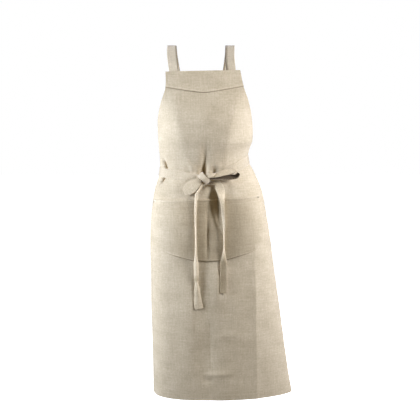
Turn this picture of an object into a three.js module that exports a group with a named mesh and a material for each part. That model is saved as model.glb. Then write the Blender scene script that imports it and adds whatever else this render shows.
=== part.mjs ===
// A linen bistro apron as it is worn: bib, skirt, pocket, crossed shoulder straps, and waist ties
// that go round the back and are tied at the front in a bow.
// Millimetres, +Z up. The front faces -Y and +X is to the right of someone looking at it.
// The origin is midway between the shoulder straps, at the height where they rest on the shoulders.
import * as THREE from "three";

// Driving dimensions
const PANEL_WALL = 1.4;
const HEM_WALL = 2.2;
const BAND_WALL = 1.2;
const POCKET_WALL = 1.2;
const STRAP_WALL = 2;
const STRAP_WIDTH = 28;
const SEWN_GAP = 1;
const TIE_GAP = 2.8;
const BIB_TOP_Z = -79;
const HEM_Z = -1063;
const HEM_HEIGHT = 20;
const BACK_Y = 88;

const LINEN = { color: 0xcdbfa6, roughness: 0.92, metalness: 0 };
const LINEN_STRAP = { color: 0xd2c5ad, roughness: 0.9, metalness: 0 };

// Level sections of the panel, from the bib's top to the hem. FRONT is the middle of the cloth. LEFT and RIGHT
// are its widest points, or the cloth's own edges where edge is under 90. edge is the angle of the cloth's edge
// from the front: 90 is the side and more is round on the back. square is 2 for an ellipse, more for a box.
const FRONT = [
  { z: -79, x: 0, y: -98 },
  { z: -125, x: 3, y: -107 },
  { z: -170, x: 5, y: -118 },
  { z: -222, x: 6, y: -125 },
  { z: -282, x: 6, y: -114 },
  { z: -315, x: 6, y: -102 },
  { z: -348, x: 7, y: -93 },
  { z: -385, x: 10, y: -90 },
  { z: -436, x: 20, y: -105 },
  { z: -529, x: 30, y: -117 },
  { z: -717, x: 38, y: -119 },
  { z: -973, x: 47, y: -119 },
  { z: -1063, x: 50, y: -119 },
];
const LEFT = [
  { z: -79, x: -109, y: -90, edge: 35, square: 2 },
  { z: -125, x: -109, y: -97, edge: 42, square: 2.2 },
  { z: -170, x: -123, y: -84, edge: 55, square: 2.4 },
  { z: -222, x: -136, y: -40, edge: 70, square: 2.1 },
  { z: -282, x: -136, y: -12, edge: 86, square: 2.1 },
  { z: -315, x: -134, y: 0, edge: 96, square: 2.05 },
  { z: -348, x: -132, y: 2, edge: 138, square: 1.85 },
  { z: -385, x: -134, y: 2, edge: 146, square: 1.85 },
  { z: -436, x: -148, y: 2, edge: 142, square: 2.3 },
  { z: -529, x: -161, y: 3, edge: 137, square: 2.9 },
  { z: -717, x: -161, y: 5, edge: 134, square: 2.9 },
  { z: -973, x: -158, y: 8, edge: 131, square: 3 },
  { z: -1063, x: -157, y: 9, edge: 130, square: 3 },
];
const RIGHT = [
  { z: -79, x: 108, y: -91, edge: 35, square: 2 },
  { z: -125, x: 118, y: -98.5, edge: 42, square: 2.2 },
  { z: -170, x: 134, y: -87, edge: 55, square: 2.5 },
  { z: -222, x: 146, y: -40, edge: 70, square: 2.1 },
  { z: -282, x: 148, y: -10, edge: 88, square: 2.1 },
  { z: -315, x: 138, y: 0, edge: 104, square: 2.1 },
  { z: -348, x: 139, y: 2, edge: 138, square: 1.9 },
  { z: -385, x: 158, y: 2, edge: 145, square: 1.9 },
  { z: -436, x: 179, y: 2, edge: 139, square: 2.3 },
  { z: -529, x: 196, y: 0, edge: 129, square: 2.7 },
  { z: -717, x: 223, y: -10, edge: 114, square: 2.2 },
  { z: -973, x: 260, y: -24, edge: 101, square: 1.7 },
  { z: -1063, x: 276, y: -28, edge: 97, square: 1.6 },
];

// Folds of the panel, each along a line between two points [x, z] of the front. A fold is deepest at the height
// peak, and is a ridge where depth is positive. A pressed one has a sharp line instead of a soft bend.
const FOLDS = [
  { name: "knot crease", from: [7, -274], peak: -373, to: [-4, -440], width: 9, depth: -20 },
  { name: "ridge left of the crease", from: [-14, -270], peak: -335, to: [-11, -368], width: 12, depth: 5 },
  { name: "ridge right of the crease", from: [30, -270], peak: -330, to: [22, -366], width: 12, depth: 4 },
  { name: "dimple right of the knot", from: [33, -334], peak: -373, to: [28, -402], width: 8, depth: -10 },
  { name: "pull left of the knot", from: [-52, -325], peak: -368, to: [-22, -392], width: 8, depth: 2 },
  { name: "side pinch over the tie", from: [-124, -335], peak: -362, to: [-115, -384], width: 5, depth: -10 },
  { name: "side pinch under the tie", from: [-116, -376], peak: -398, to: [-133, -425], width: 5, depth: -8 },
  { name: "left bust edge", from: [-100, -130], peak: -235, to: [-34, -400], width: 28, depth: 7 },
  { name: "right bust edge", from: [108, -130], peak: -230, to: [44, -390], width: 28, depth: 7 },
  { name: "valley under the knot", from: [16, -395], peak: -520, to: [10, -660], width: 14, depth: -4 },
  { name: "drape beside the tail", from: [40, -400], peak: -455, to: [58, -560], width: 16, depth: -12 },
  { name: "skirt ridge", from: [42, -600], peak: -730, to: [38, -900], width: 26, depth: 4 },
  { name: "skirt valley", from: [12, -760], peak: -940, to: [8, -1120], width: 30, depth: -5 },
  { name: "side crease", from: [150, -520], peak: -760, to: [170, -1300], width: 22, depth: 4, pressed: true },
];
const GATHER_Z = -382;
const GATHER_REACH = 45;
const GATHER_PITCH = 31;
const GATHER_DEPTH = 2.5;

// Grid of the panel: rows of equal steps between these heights, and columns that are closer near the middle.
const PANEL_BANDS = [
  { fromZ: BIB_TOP_Z, toZ: -300, rows: 9 },
  { fromZ: -300, toZ: -460, rows: 10 },
  { fromZ: -460, toZ: HEM_Z + HEM_HEIGHT, rows: 13 },
  { fromZ: HEM_Z + HEM_HEIGHT, toZ: HEM_Z, rows: 2 },
];
const PANEL_COLUMNS = 44;
const MIDDLE_SPACING = 0.6;

// The pocket's lower edge rises by rise at a share of the way from the pocket's middle to its side.
const POCKET = {
  middle: -20,
  halfWidth: 172,
  leftTopZ: -461,
  rightTopZ: -446,
  leftBottomZ: -638,
  rightBottomZ: -635,
  belly: 2.2,
  seamAt: -17,
  columns: 34,
  rows: 7,
};
const POCKET_CORNER = [
  { share: 0, rise: 0 },
  { share: 0.3, rise: 3 },
  { share: 0.5, rise: 12 },
  { share: 0.7, rise: 21 },
  { share: 0.85, rise: 32 },
  { share: 0.95, rise: 46 },
  { share: 1, rise: 66 },
];
const BAND = { sideHeight: 47, dip: 19, dipRound: 0.12, columns: 20, rows: 3 };

const X_AXIS = new THREE.Vector3(1, 0, 0);
const toRadians = THREE.MathUtils.degToRad;
const lerp = THREE.MathUtils.lerp;
const smooth = (t) => THREE.MathUtils.smoothstep(t, 0, 1);
const power = (value, exponent) => Math.sign(value) * Math.abs(value) ** exponent;

// The row of a table at a height, by cubic interpolation of each column.
function rowAt(table, z) {
  const last = table.length - 1;
  let i = table.findIndex((row, k) => k < last && z >= table[k + 1].z);
  if (i < 0) i = last - 1;
  const [a, b] = [table[i], table[i + 1]];
  const before = table[Math.max(i - 1, 0)];
  const after = table[Math.min(i + 2, last)];
  const span = b.z - a.z;
  const t = (z - a.z) / span;
  const row = {};
  for (const key of Object.keys(a)) {
    const slopeA = ((b[key] - before[key]) / (b.z - before.z)) * span;
    const slopeB = ((after[key] - a[key]) / (after.z - a.z)) * span;
    const rise = b[key] - a[key];
    const bend = 3 * rise - 2 * slopeA - slopeB;
    row[key] = a[key] + t * (slopeA + t * (bend + t * (slopeA + slopeB - 2 * rise)));
  }
  return row;
}

// One half of a section as a polyline from the middle of the front to the cloth's edge and on round the back,
// with the length along it at each point.
const HALF_STEPS = 240;
const FULL_TURN = 178;
function halfSection(front, side) {
  const edge = toRadians(side.edge);
  const exponent = 2 / side.square;
  const short = Math.min(edge, Math.PI / 2);
  const scaleX = (side.x - front.x) / Math.sin(short) ** exponent;
  const scaleY = (side.y - front.y) / (1 - power(Math.cos(short), exponent));
  const points = [];
  let length = 0;
  let edgeLength = 0;
  for (let k = 0; k <= HALF_STEPS; k++) {
    const angle = (toRadians(FULL_TURN) * k) / HALF_STEPS;
    const cosine = power(Math.cos(angle), exponent);
    const x = front.x + scaleX * Math.sin(angle) ** exponent;
    const y = cosine >= 0 ? front.y + scaleY * (1 - cosine) : side.y - (BACK_Y - side.y) * cosine;
    if (k > 0) length += Math.hypot(x - points[k - 1].x, y - points[k - 1].y);
    points.push({ x, y, length });
    if (angle <= edge) edgeLength = length;
  }
  return { points, edgeLength };
}

const halves = new Map();
function halvesAt(z) {
  const key = z.toFixed(3);
  if (!halves.has(key)) {
    const front = rowAt(FRONT, z);
    const left = halfSection(front, rowAt(LEFT, z));
    const right = halfSection(front, rowAt(RIGHT, z));
    halves.set(key, { left, right });
  }
  return halves.get(key);
}

// The smooth surface, with no folds, at a distance s along the section from the middle of the front.
function smoothPoint(s, z) {
  const { points } = s < 0 ? halvesAt(z).left : halvesAt(z).right;
  const distance = Math.abs(s);
  let k = points.findIndex((p) => p.length >= distance);
  if (k < 0) k = points.length - 1;
  if (k === 0) k = 1;
  const [a, b] = [points[k - 1], points[k]];
  const t = (distance - a.length) / (b.length - a.length);
  return new THREE.Vector3(a.x + t * (b.x - a.x), a.y + t * (b.y - a.y), z);
}

const NORMAL_STEP = 1.5;
function smoothNormal(s, z) {
  const along = smoothPoint(s + NORMAL_STEP, z).sub(smoothPoint(s - NORMAL_STEP, z));
  return new THREE.Vector3(along.y, -along.x, 0).normalize();
}

function foldDepth(s, x, z) {
  let depth = 0;
  for (const fold of FOLDS) {
    const [topX, topZ] = fold.from;
    const [endX, endZ] = fold.to;
    if (z > topZ || z < endZ) continue;
    const outerZ = z > fold.peak ? topZ : endZ;
    const fade = smooth((z - outerZ) / (fold.peak - outerZ));
    const lineX = lerp(topX, endX, (z - topZ) / (endZ - topZ));
    const away = Math.abs(x - lineX) / fold.width;
    depth += fold.depth * fade * Math.exp(-(away ** (fold.pressed ? 1 : 2)));
  }
  const gather = Math.exp(-(((z - GATHER_Z) / GATHER_REACH) ** 2)) * GATHER_DEPTH;
  return depth - gather * (0.5 + 0.5 * Math.cos((2 * Math.PI * s) / GATHER_PITCH));
}

// The middle of the panel's wall, pushed out by a distance.
function clothPoint(s, z, out = 0) {
  const point = smoothPoint(s, z);
  const depth = z > BIB_TOP_Z ? 0 : foldDepth(s, point.x, z);
  const front = smoothNormal(s, z);
  return point.addScaledVector(front, depth + out);
}

// A closed wall of cloth from a grid of points. wallAt gives its thickness in each row.
function clothWall(rows, columns, pointAt, wallAt) {
  const grid = [];
  for (let r = 0; r <= rows; r++) {
    grid.push([]);
    for (let c = 0; c <= columns; c++) grid[r].push(pointAt(r, c));
  }
  const positions = [];
  const place = (r, c, side) => ((r * (columns + 1) + c) * 2 + side);
  for (let r = 0; r <= rows; r++) {
    for (let c = 0; c <= columns; c++) {
      const down = grid[Math.min(r + 1, rows)][c].clone().sub(grid[Math.max(r - 1, 0)][c]);
      const across = grid[r][Math.min(c + 1, columns)].clone().sub(grid[r][Math.max(c - 1, 0)]);
      const normal = across.cross(down).normalize();
      for (const side of [1, -1]) {
        const point = grid[r][c].clone().addScaledVector(normal, (side * wallAt(r)) / 2);
        positions.push(point.x, point.y, point.z);
      }
    }
  }
  const index = [];
  const quad = (a, b, c, d) => index.push(a, b, c, a, c, d);
  for (let r = 0; r < rows; r++) {
    for (let c = 0; c < columns; c++) {
      quad(place(r, c, 0), place(r, c + 1, 0), place(r + 1, c + 1, 0), place(r + 1, c, 0));
      quad(place(r, c, 1), place(r + 1, c, 1), place(r + 1, c + 1, 1), place(r, c + 1, 1));
    }
    quad(place(r, 0, 0), place(r + 1, 0, 0), place(r + 1, 0, 1), place(r, 0, 1));
    quad(place(r, columns, 0), place(r, columns, 1), place(r + 1, columns, 1), place(r + 1, columns, 0));
  }
  for (let c = 0; c < columns; c++) {
    quad(place(0, c, 0), place(0, c, 1), place(0, c + 1, 1), place(0, c + 1, 0));
    quad(place(rows, c, 0), place(rows, c + 1, 0), place(rows, c + 1, 1), place(rows, c, 1));
  }
  const geometry = new THREE.BufferGeometry();
  geometry.setAttribute("position", new THREE.Float32BufferAttribute(positions, 3));
  geometry.setIndex(index);
  return facingOut(geometry);
}

// Turns the faces round where the solid is inside out.
function facingOut(geometry) {
  const position = geometry.getAttribute("position");
  const index = geometry.getIndex().array;
  const [a, b, c] = [new THREE.Vector3(), new THREE.Vector3(), new THREE.Vector3()];
  let volume = 0;
  for (let i = 0; i < index.length; i += 3) {
    a.fromBufferAttribute(position, index[i]);
    b.fromBufferAttribute(position, index[i + 1]);
    c.fromBufferAttribute(position, index[i + 2]);
    volume += a.dot(b.cross(c)) / 6;
  }
  if (volume < 0) {
    for (let i = 0; i < index.length; i += 3) [index[i + 1], index[i + 2]] = [index[i + 2], index[i + 1]];
  }
  geometry.computeVertexNormals();
  return geometry;
}

const apron = new THREE.Group();
function addPiece(name, geometry, look) {
  const mesh = new THREE.Mesh(geometry, new THREE.MeshStandardMaterial(look));
  mesh.name = name;
  apron.add(mesh);
}

// Panel: bib and skirt in one cut of cloth
function panelHeights() {
  const heights = [BIB_TOP_Z];
  for (const band of PANEL_BANDS) {
    for (let k = 1; k <= band.rows; k++) heights.push(lerp(band.fromZ, band.toZ, k / band.rows));
  }
  return heights;
}

function panelColumn(c) {
  const t = (2 * c) / PANEL_COLUMNS - 1;
  return MIDDLE_SPACING * t + (1 - MIDDLE_SPACING) * t ** 3;
}

function makePanel() {
  const heights = panelHeights();
  const pointAt = (r, c) => {
    const share = panelColumn(c);
    const { left, right } = halvesAt(heights[r]);
    return clothPoint(share * (share < 0 ? left : right).edgeLength, heights[r]);
  };
  const hemTop = HEM_Z + HEM_HEIGHT / 2;
  const wallAt = (r) => (heights[r] <= hemTop ? HEM_WALL : PANEL_WALL);
  return clothWall(heights.length - 1, PANEL_COLUMNS, pointAt, wallAt);
}

// Band turned down along the bib's top, deeper at the middle
function makeBand() {
  const out = PANEL_WALL / 2 + SEWN_GAP + BAND_WALL / 2;
  const pointAt = (r, c) => {
    const share = (2 * c) / BAND.columns - 1;
    const height = BAND.sideHeight + BAND.dip * (1 - Math.hypot(share, BAND.dipRound));
    const z = BIB_TOP_Z - (height * r) / BAND.rows;
    const { left, right } = halvesAt(z);
    return clothPoint(share * (share < 0 ? left : right).edgeLength, z, out);
  };
  return clothWall(BAND.rows, BAND.columns, pointAt, () => BAND_WALL);
}

// Patch pocket with rounded lower corners, lying off the panel a little on each side of its middle seam
function cornerRise(share) {
  const next = Math.max(1, POCKET_CORNER.findIndex((row) => row.share >= share));
  const [a, b] = [POCKET_CORNER[next - 1], POCKET_CORNER[next]];
  return lerp(a.rise, b.rise, (share - a.share) / (b.share - a.share));
}

function makePocket() {
  const out = PANEL_WALL / 2 + SEWN_GAP + POCKET_WALL / 2;
  const [left, right] = [POCKET.middle - POCKET.halfWidth, POCKET.middle + POCKET.halfWidth];
  const pointAt = (r, c) => {
    const share = c / POCKET.columns;
    const s = lerp(left, right, share);
    const topZ = lerp(POCKET.leftTopZ, POCKET.rightTopZ, share);
    const bottomZ = lerp(POCKET.leftBottomZ, POCKET.rightBottomZ, share) + cornerRise(Math.abs(2 * share - 1));
    const z = lerp(topZ, bottomZ, r / POCKET.rows);
    const [start, end] = s < POCKET.seamAt ? [left, POCKET.seamAt] : [POCKET.seamAt, right];
    const swell = POCKET.belly * Math.sin((Math.PI * (s - start)) / (end - start));
    return clothPoint(s, z, out + swell * Math.cos(((Math.PI / 2) * r) / POCKET.rows));
  };
  return clothWall(POCKET.rows, POCKET.columns, pointAt, () => POCKET_WALL);
}

// A flat strap along a path. Each row has a point, the direction across the strap and the strap's width there.
// Where fold is given, the halves are folded up along the middle by that many degrees.
const ACROSS = 2;
function ribbon(path, steps, wall) {
  const middle = new THREE.CatmullRomCurve3(path.map((row) => row.point), false, "centripetal");
  const across = new THREE.CatmullRomCurve3(path.map((row) => row.across));
  const sizes = new THREE.CatmullRomCurve3(path.map((row) => new THREE.Vector3(row.width, row.fold ?? 0, 0)));
  const pointAt = (r, c) => {
    const t = r / steps;
    const tangent = middle.getTangent(t);
    const side = across.getPoint(t);
    side.addScaledVector(tangent, -side.dot(tangent)).normalize();
    const { x: width, y: fold } = sizes.getPoint(t);
    const share = c / ACROSS - 0.5;
    const up = tangent.cross(side).multiplyScalar(width * Math.sin(toRadians(fold)) * (Math.abs(share) - 0.25));
    return middle.getPoint(t).addScaledVector(side, width * Math.cos(toRadians(fold)) * share).add(up);
  };
  return clothWall(steps, ACROSS, pointAt, () => wall);
}

// Distance that puts a strap inside the panel, clear of its gathers
const INSIDE = -(PANEL_WALL / 2 + TIE_GAP + STRAP_WALL / 2 + GATHER_DEPTH);

// Shoulder straps: from inside the bib, over the shoulder and down the back to the far back edge.
// shoulder is the share of the strap's distance from the middle.
const STRAP_ROUTE = [
  { place: "front of the shoulder", shoulder: 1.04, y: -44, z: -32 },
  { place: "shoulder", shoulder: 1.06, y: 4, z: 1 },
  { place: "back of the shoulder", shoulder: 1.04, y: 58, z: -34 },
  { place: "shoulder blade", shoulder: 0.88, y: 84, z: -100 },
  { place: "crossing", shoulder: 0, y: 98, z: -235 },
];
const STRAPS = [
  { name: "shoulder_strap_left", sign: -1, bibX: 83, shoulderX: 89, lift: 4 },
  { name: "shoulder_strap_right", sign: 1, bibX: 80, shoulderX: 76, lift: 0 },
];
const STRAP_BIB_ENDS = [-116, -101, -86];
const STRAP_FAR_ENDS = [
  { z: -330, inset: -46, out: -5 },
  { z: -352, inset: -6, out: INSIDE - 2.5 },
  { z: -366, inset: 26, out: INSIDE - 1 },
];
const STRAP_STEPS = 40;

function makeStrap(strap) {
  const path = [];
  const addPoint = (point, across) => path.push({ point, across, width: STRAP_WIDTH });
  const level = (s, z) => new THREE.Vector3(-smoothNormal(s, z).y, smoothNormal(s, z).x, 0);
  for (const z of STRAP_BIB_ENDS) {
    const s = strap.sign * (strap.bibX + 2);
    addPoint(clothPoint(s, z, -(PANEL_WALL / 2 + TIE_GAP + STRAP_WALL / 2)), level(s, z));
  }
  for (const row of STRAP_ROUTE) {
    const y = row.y + (row.place === "crossing" ? strap.lift : 0);
    addPoint(new THREE.Vector3(strap.sign * row.shoulder * strap.shoulderX, y, row.z), X_AXIS.clone());
  }
  for (const row of STRAP_FAR_ENDS) {
    const far = strap.sign < 0 ? halvesAt(row.z).right : halvesAt(row.z).left;
    const s = -strap.sign * (far.edgeLength - row.inset);
    addPoint(smoothPoint(s, row.z).addScaledVector(smoothNormal(s, row.z), row.out), level(s, row.z).negate());
  }
  return ribbon(path, STRAP_STEPS, STRAP_WALL);
}

// The knot, a wrapped lump with a groove along its slanting top turn
const KNOT = {
  x: 6,
  y: -108,
  z: -391,
  halfWidth: 17,
  halfDepth: 11,
  halfHeight: 17,
  sides: 18,
  rings: 10,
  groove: 0.16,
  grooveWidth: 0.3,
};
function makeKnot() {
  const positions = [];
  const slant = new THREE.Vector3(1, 0, 1).normalize();
  for (let k = 0; k <= KNOT.rings; k++) {
    const polar = (Math.PI * k) / KNOT.rings;
    for (let i = 0; i < KNOT.sides; i++) {
      const turn = (2 * Math.PI * i) / KNOT.sides;
      const ray = new THREE.Vector3().setFromSphericalCoords(1, polar, turn);
      ray.applyAxisAngle(X_AXIS, Math.PI / 2);
      const off = (Math.abs(ray.dot(slant)) - 0.5) / KNOT.grooveWidth;
      const radius = 1 - KNOT.groove * Math.exp(-(off ** 2));
      positions.push(
        KNOT.x + radius * KNOT.halfWidth * ray.x,
        KNOT.y + radius * KNOT.halfDepth * ray.y,
        KNOT.z + radius * KNOT.halfHeight * ray.z,
      );
      if (k === 0 || k === KNOT.rings) break;
    }
  }
  const index = [];
  const ring = (k, i) => 1 + (k - 1) * KNOT.sides + (i % KNOT.sides);
  const lowest = positions.length / 3 - 1;
  for (let i = 0; i < KNOT.sides; i++) {
    index.push(0, ring(1, i), ring(1, i + 1));
    index.push(lowest, ring(KNOT.rings - 1, i + 1), ring(KNOT.rings - 1, i));
    for (let k = 1; k < KNOT.rings - 1; k++) {
      index.push(ring(k, i), ring(k + 1, i), ring(k + 1, i + 1));
      index.push(ring(k, i), ring(k + 1, i + 1), ring(k, i + 1));
    }
  }
  const geometry = new THREE.BufferGeometry();
  geometry.setAttribute("position", new THREE.Float32BufferAttribute(positions, 3));
  geometry.setIndex(index);
  return facingOut(geometry);
}

// Waist ties: from the knot round over the panel, across the back and under the panel's far edge.
// sideZ is the height at the side and edgeZ at the near back edge. over is how far the tie stands off the back
// where the two cross.
const TIES = [
  { side: "left", far: "right", sign: -1, frontZ: -390, sideZ: -379, edgeZ: -371, over: 6 },
  { side: "right", far: "left", sign: 1, frontZ: -388, sideZ: -341, edgeZ: -356, over: -1.5 },
];
const TIE = {
  knotWidth: 17,
  knotReach: 70,
  knotY: -101,
  start: 26,
  stations: 24,
  backStations: 8,
  underAt: 0.8,
  endZ: -412,
  endInset: 22,
  steps: 54,
};
const SIDE_ANGLE = 90;

function makeTie(tie) {
  const out = PANEL_WALL / 2 + TIE_GAP + STRAP_WALL / 2;
  const near = halvesAt(tie.sideZ)[tie.side];
  const path = [];
  const addPoint = (s, z, offset, width) => {
    const across = smoothPoint(s, z + STRAP_WIDTH / 2).sub(smoothPoint(s, z - STRAP_WIDTH / 2));
    path.push({ point: smoothPoint(s, z).addScaledVector(smoothNormal(s, z), offset), across, width });
  };
  const knotEnd = new THREE.Vector3(KNOT.x + tie.sign * (KNOT.halfWidth + 1.5), TIE.knotY, tie.frontZ);
  path.push({ point: knotEnd, across: new THREE.Vector3(0, 0, 1), width: TIE.knotWidth });
  const sideLength = near.points[Math.round((HALF_STEPS * SIDE_ANGLE) / FULL_TURN)].length;
  for (let k = 0; k <= TIE.stations; k++) {
    const distance = lerp(TIE.start, near.edgeLength, k / TIE.stations);
    const round = Math.min(distance / sideLength, 1);
    const behind = Math.max(0, (distance - sideLength) / (near.edgeLength - sideLength));
    const frontZ = lerp(tie.frontZ, tie.sideZ, smooth(round));
    const z = frontZ + (tie.edgeZ - tie.sideZ) * smooth(behind);
    const s = tie.sign * distance;
    const width = lerp(TIE.knotWidth, STRAP_WIDTH, smooth((distance - TIE.start) / TIE.knotReach));
    addPoint(s, z, out + Math.max(0, foldDepth(s, smoothPoint(s, z).x, z)), width);
  }
  for (let k = 1; k <= TIE.backStations; k++) {
    const share = k / TIE.backStations;
    const z = lerp(tie.edgeZ, TIE.endZ, share);
    const half = halvesAt(z)[share < 0.5 ? tie.side : tie.far];
    const middle = half.points[HALF_STEPS].length;
    const distance = lerp(middle, half.edgeLength, Math.abs(2 * share - 1));
    const early = lerp(out, tie.over, smooth(Math.min(2 * share, 1)));
    const late = smooth((share - TIE.underAt) / (1 - TIE.underAt));
    const offset = lerp(early, INSIDE, late);
    addPoint((share < 0.5 ? tie.sign : -tie.sign) * distance, z, offset, STRAP_WIDTH);
  }
  addPoint(-tie.sign * (halvesAt(TIE.endZ)[tie.far].edgeLength - TIE.endInset), TIE.endZ, INSIDE, STRAP_WIDTH);
  return ribbon(path, TIE.steps, STRAP_WALL);
}

// Bow loops and hanging ends. swing turns the direction across the strap about the vertical, from +X towards
// +Y, and rise lifts it from level. fold closes the strap lengthwise, away from the viewer where it is below 0.
const BOW = [
  {
    name: "bow_loop_left",
    steps: 26,
    path: [
      { x: -14, y: -117, z: -401, swing: 165, rise: 58, width: 17 },
      { x: -27, y: -119, z: -410, swing: 165, rise: 57, width: 29 },
      { x: -42, y: -117, z: -421, swing: 165, rise: 56, width: 32 },
      { x: -54, y: -113, z: -428, swing: 168, rise: 55, width: 26 },
      { x: -47, y: -108, z: -424, swing: 170, rise: 56, width: 25 },
      { x: -31, y: -109, z: -412, swing: 170, rise: 57, width: 24 },
      { x: -15, y: -110, z: -402, swing: 175, rise: 58, width: 15 },
    ],
  },
  {
    name: "bow_loop_right",
    steps: 30,
    path: [
      { x: 25, y: -113, z: -385, swing: 90, rise: 20, width: 13 },
      { x: 44, y: -113, z: -381, swing: 95, rise: 22, width: 24 },
      { x: 71, y: -109, z: -374, swing: 104, rise: 20, width: 28 },
      { x: 95, y: -103, z: -371, swing: 110, rise: 14, width: 28 },
      { x: 104, y: -99, z: -378, swing: 112, rise: 5, width: 28 },
      { x: 98, y: -101, z: -389, swing: 112, rise: -4, width: 28 },
      { x: 76, y: -107, z: -397.5, swing: 104, rise: -6, width: 28 },
      { x: 46, y: -111, z: -397.5, swing: 96, rise: -3, width: 23 },
      { x: 25, y: -112, z: -392, swing: 90, rise: 8, width: 13 },
    ],
  },
  {
    name: "tie_tail_left",
    steps: 38,
    path: [
      { x: 0, y: -105, z: -409.5, swing: 0, rise: 0, width: 14, fold: -15 },
      { x: -11, y: -109, z: -422, swing: 0, rise: 0, width: 17, fold: -45 },
      { x: -19, y: -115, z: -440, swing: 0, rise: 0, width: 18, fold: -60 },
      { x: -21, y: -120, z: -458, swing: 0, rise: 0, width: 17, fold: -60 },
      { x: -22, y: -128, z: -512, swing: 0, rise: 0, width: 17, fold: -60 },
      { x: -21, y: -130.5, z: -571, swing: 0, rise: 0, width: 18, fold: -60 },
      { x: -21, y: -130.5, z: -616, swing: 0, rise: 0, width: 20, fold: -60 },
      { x: -20, y: -128, z: -650, swing: 20, rise: 0, width: 24, fold: -20 },
      { x: -19, y: -126, z: -680, swing: 10, rise: 0, width: 25, fold: 20 },
      { x: -17, y: -126, z: -706, swing: -30, rise: 0, width: 24, fold: 60 },
      { x: -16, y: -125, z: -728, swing: -20, rise: 0, width: 25, fold: 20 },
      { x: -8, y: -124, z: -778, swing: -5, rise: 0, width: 26, fold: 10 },
    ],
  },
  {
    name: "tie_tail_right",
    steps: 36,
    path: [
      { x: 23, y: -115, z: -409, swing: 0, rise: 60, width: 9 },
      { x: 34, y: -112, z: -409.5, swing: 0, rise: 66, width: 10 },
      { x: 43, y: -110, z: -412, swing: 0, rise: 46, width: 19 },
      { x: 49, y: -110, z: -422, swing: 8, rise: 28, width: 25 },
      { x: 54, y: -113, z: -434, swing: 24, rise: 12, width: 26 },
      { x: 58, y: -118, z: -448, swing: 42, rise: 4, width: 25, fold: -15 },
      { x: 60, y: -123, z: -464, swing: 52, rise: 0, width: 23, fold: -40 },
      { x: 61, y: -127, z: -488, swing: 48, rise: 0, width: 20, fold: -55 },
      { x: 62, y: -130, z: -527, swing: 25, rise: 0, width: 16, fold: -62 },
      { x: 62, y: -130.5, z: -572, swing: 0, rise: 0, width: 15, fold: -64 },
      { x: 62, y: -130, z: -600, swing: 0, rise: 0, width: 14, fold: -50 },
      { x: 62, y: -128, z: -640, swing: 0, rise: 0, width: 18 },
      { x: 62, y: -125, z: -690, swing: 0, rise: 0, width: 22 },
      { x: 62, y: -125, z: -731, swing: 0, rise: 0, width: 23 },
    ],
  },
];

function makeBowPiece(piece) {
  const path = piece.path.map((row) => {
    const [swing, rise] = [toRadians(row.swing), toRadians(row.rise)];
    const level = Math.cos(rise);
    const across = new THREE.Vector3(level * Math.cos(swing), level * Math.sin(swing), Math.sin(rise));
    return { point: new THREE.Vector3(row.x, row.y, row.z), across, width: row.width, fold: row.fold };
  });
  return ribbon(path, piece.steps, STRAP_WALL);
}

addPiece("apron_panel", makePanel(), LINEN);
addPiece("bib_band", makeBand(), LINEN);
addPiece("pocket", makePocket(), LINEN);
for (const strap of STRAPS) addPiece(strap.name, makeStrap(strap), LINEN_STRAP);
for (const tie of TIES) addPiece("waist_tie_" + tie.side, makeTie(tie), LINEN_STRAP);
addPiece("bow_knot", makeKnot(), LINEN_STRAP);
for (const piece of BOW) addPiece(piece.name, makeBowPiece(piece), LINEN_STRAP);

export default apron;
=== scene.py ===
import math
from collections import namedtuple

import bpy
import numpy as np
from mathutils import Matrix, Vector, noise


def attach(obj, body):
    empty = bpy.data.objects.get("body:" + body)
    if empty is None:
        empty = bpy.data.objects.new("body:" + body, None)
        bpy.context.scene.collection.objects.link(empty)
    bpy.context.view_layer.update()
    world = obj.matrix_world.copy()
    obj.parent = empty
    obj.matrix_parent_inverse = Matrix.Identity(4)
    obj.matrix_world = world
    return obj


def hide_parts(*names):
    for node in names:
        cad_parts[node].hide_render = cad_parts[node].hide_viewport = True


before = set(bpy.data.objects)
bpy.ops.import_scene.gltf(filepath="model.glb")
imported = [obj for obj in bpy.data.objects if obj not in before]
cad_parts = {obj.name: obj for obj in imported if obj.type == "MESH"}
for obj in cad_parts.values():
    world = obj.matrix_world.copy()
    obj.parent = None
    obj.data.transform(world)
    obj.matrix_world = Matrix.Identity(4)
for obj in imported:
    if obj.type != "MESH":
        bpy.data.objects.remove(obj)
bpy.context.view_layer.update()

# Sizes in millimetres, in the row frame, except where a name says otherwise
MM = 0.001
PANEL_WALL = 1.0
HEM_WALL = 2.0
BAND_WALL = 1.8
POCKET_WALL = 2.6
STRAP_WALL = 2.0
STRAP_WIDTH = 28
REST_GAP = 0.3
BIB_TOP_Z = -79
HEM_Z = -1063
HEM_HEIGHT = 20
SIDE_HEM = 9
BACK_Y = 88

# Level sections of the panel: the middle of the cloth, then its widest points or edges on each side
Front = namedtuple("Front", "z x y")
Side = namedtuple("Side", "z x y edge square")
FRONT = [
    Front(-79, 0, -98),
    Front(-125, 3, -107),
    Front(-170, 5, -118),
    Front(-222, 6, -125),
    Front(-282, 6, -114),
    Front(-315, 6, -102),
    Front(-348, 7, -93),
    Front(-385, 10, -90),
    Front(-436, 20, -105),
    Front(-529, 30, -117),
    Front(-717, 38, -119),
    Front(-973, 47, -119),
    Front(-1063, 50, -119),
]
LEFT = [
    Side(-79, -109, -90, 35, 2),
    Side(-125, -109, -97, 42, 2.2),
    Side(-170, -123, -84, 55, 2.4),
    Side(-222, -136, -40, 70, 2.1),
    Side(-282, -136, -12, 86, 2.1),
    Side(-315, -134, 0, 96, 2.05),
    Side(-348, -132, 2, 138, 1.85),
    Side(-385, -134, 2, 146, 1.85),
    Side(-436, -148, 2, 142, 2.3),
    Side(-529, -161, 3, 137, 2.9),
    Side(-717, -161, 5, 134, 2.9),
    Side(-973, -158, 8, 131, 3),
    Side(-1063, -157, 9, 130, 3),
]
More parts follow.
